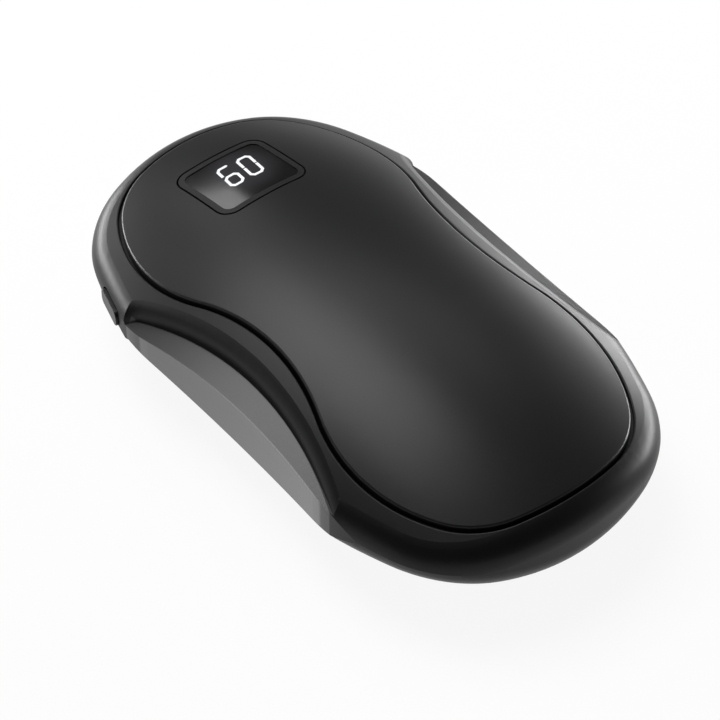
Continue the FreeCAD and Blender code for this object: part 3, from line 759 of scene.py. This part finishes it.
def softbox(name, aim, energy, place, width, height):
    """A soft rectangular lamp that faces a height over the origin and stays out of pictures."""
    lamp = bpy.data.lights.new(name, "AREA")
    lamp.shape = "RECTANGLE"
    lamp.size = width
    lamp.size_y = height
    lamp.energy = energy
    holder = bpy.data.objects.new(name, lamp)
    holder.location = place
    back = Vector(place) - Vector((0.0, 0.0, aim))
    holder.rotation_euler = back.to_track_quat("Z", "Y").to_euler()
    holder.visible_camera = False
    bpy.context.scene.collection.objects.link(holder)


def plain_view(finish):
    """Whether the camera or a clear piece looks at a surface, and whether a reflection does."""
    path = finish.node("ShaderNodeLightPath").socket.node
    camera, glossy, clear = (
        Value(finish, path.outputs[name])
        for name in ("Is Camera Ray", "Is Glossy Ray", "Is Transmission Ray")
    )
    return camera + clear, glossy


class HANDWARMER_OT_stage(bpy.types.Operator):
    """Set the pale floor, the soft lights, the world and the camera"""

    bl_idname = "hand_warmer.stage"
    bl_label = "Stage"

    def execute(self, context):
        stage = context.scene.hand_warmer.stage
        scene = context.scene

        mesh = bpy.data.meshes.new("floor")
        corners = 96
        ring = [
            (
                stage.floor_radius * math.cos(math.tau * step / corners),
                stage.floor_radius * math.sin(math.tau * step / corners),
                -stage.floor_drop,
            )
            for step in range(corners)
        ]
        mesh.from_pydata(ring, [], [list(range(corners))])
        floor = bpy.data.objects.new("floor", mesh)
        scene.collection.objects.link(floor)
        finish = Finish("floor_plain_white")
        finish.set(Base_Color=tuple(stage.floor_colour), Roughness=0.9, Specular_IOR_Level=0.0)
        seen, mirrored = plain_view(finish)
        glow = finish.node("ShaderNodeEmission", None, {"Color": (1.0, 1.0, 1.0), "Strength": 1.0})
        lit = Value(finish, finish.shader.outputs[0])
        white = finish.node("ShaderNodeClamp", None, {"Value": seen * stage.floor_glow + mirrored})
        look = finish.node("ShaderNodeMixShader", None, {0: white, 1: lit, 2: glow})
        finish.fill(finish.output.inputs["Surface"], look)
        mesh.materials.append(finish.material)

        aim = stage.lamp_aim
        softbox(
            "softbox_top", aim, stage.top_light, place=(-0.06, 0.42, 0.92), width=0.50, height=0.65
        )
        softbox(
            "softbox_right", aim, stage.right_light, place=(0.42, 0.42, 0.80), width=0.50, height=0.30
        )
        softbox(
            "softbox_back", aim, stage.back_light, place=(0.21, 0.82, 0.53), width=0.24, height=0.15
        )
        softbox(
            "strip_right", aim, stage.right_strip, place=(0.448, 0.03, 0.028), width=0.50, height=0.05
        )
        softbox(
            "strip_left", aim, stage.left_strip, place=(-0.13, 0.48, 0.045), width=0.35, height=0.08
        )

        world = bpy.data.worlds.new("studio")
        world.use_nodes = True
        background = world.node_tree.nodes["Background"]
        background.inputs["Color"].default_value = (1.0, 1.0, 1.0, 1.0)
        background.inputs["Strength"].default_value = stage.world_light
        scene.world = world
        scene.view_settings.view_transform = "Standard"

        lens = bpy.data.cameras.new("camera")
        lens.sensor_width = 36.0
        lens.lens = stage.lens
        lens.clip_start = 0.01
        camera = bpy.data.objects.new("camera", lens)
        camera.location = stage.camera_place
        camera.rotation_euler = stage.camera_turn
        scene.collection.objects.link(camera)
        scene.camera = camera
        return {"FINISHED"}


OPERATORS = (
    HANDWARMER_OT_plates,
    HANDWARMER_OT_case,
    HANDWARMER_OT_display,
    HANDWARMER_OT_button,
    HANDWARMER_OT_socket,
    HANDWARMER_OT_heaters,
    HANDWARMER_OT_battery,
    HANDWARMER_OT_board,
    HANDWARMER_OT_stage,
)


class HANDWARMER_PT_sidebar(bpy.types.Panel):
    """The hand warmer's sizes, colours and steps"""

    bl_idname = "HANDWARMER_PT_sidebar"
    bl_label = "Hand Warmer"
    bl_space_type = "VIEW_3D"
    bl_region_type = "UI"
    bl_category = "Hand Warmer"

    def draw(self, context):
        settings = context.scene.hand_warmer
        for part in ("plates", "case", "display", "socket", "inner", "stage"):
            group = getattr(settings, part)
            box = self.layout.box()
            for name in group.bl_rna.properties.keys():
                if name not in ("rna_type", "name"):
                    box.prop(group, name)
        for operator in OPERATORS:
            self.layout.operator(operator.bl_idname)


CLASSES = (
    PlateFinish,
    CaseFinish,
    DisplayFinish,
    SocketSizes,
    InnerColours,
    StageSettings,
    HandWarmer,
    *OPERATORS,
    HANDWARMER_PT_sidebar,
)


def register():
    for cls in CLASSES:
        bpy.utils.register_class(cls)
    bpy.types.Scene.hand_warmer = PointerProperty(type=HandWarmer)


def unregister():
    del bpy.types.Scene.hand_warmer
    for cls in reversed(CLASSES):
        bpy.utils.unregister_class(cls)


def main():
    register()
    steps = bpy.ops.hand_warmer
    steps.plates()
    steps.case()
    steps.display()
    steps.button()
    steps.socket()
    steps.heaters()
    steps.battery()
    steps.board()
    steps.stage()


if __name__ == "__main__":
    main()
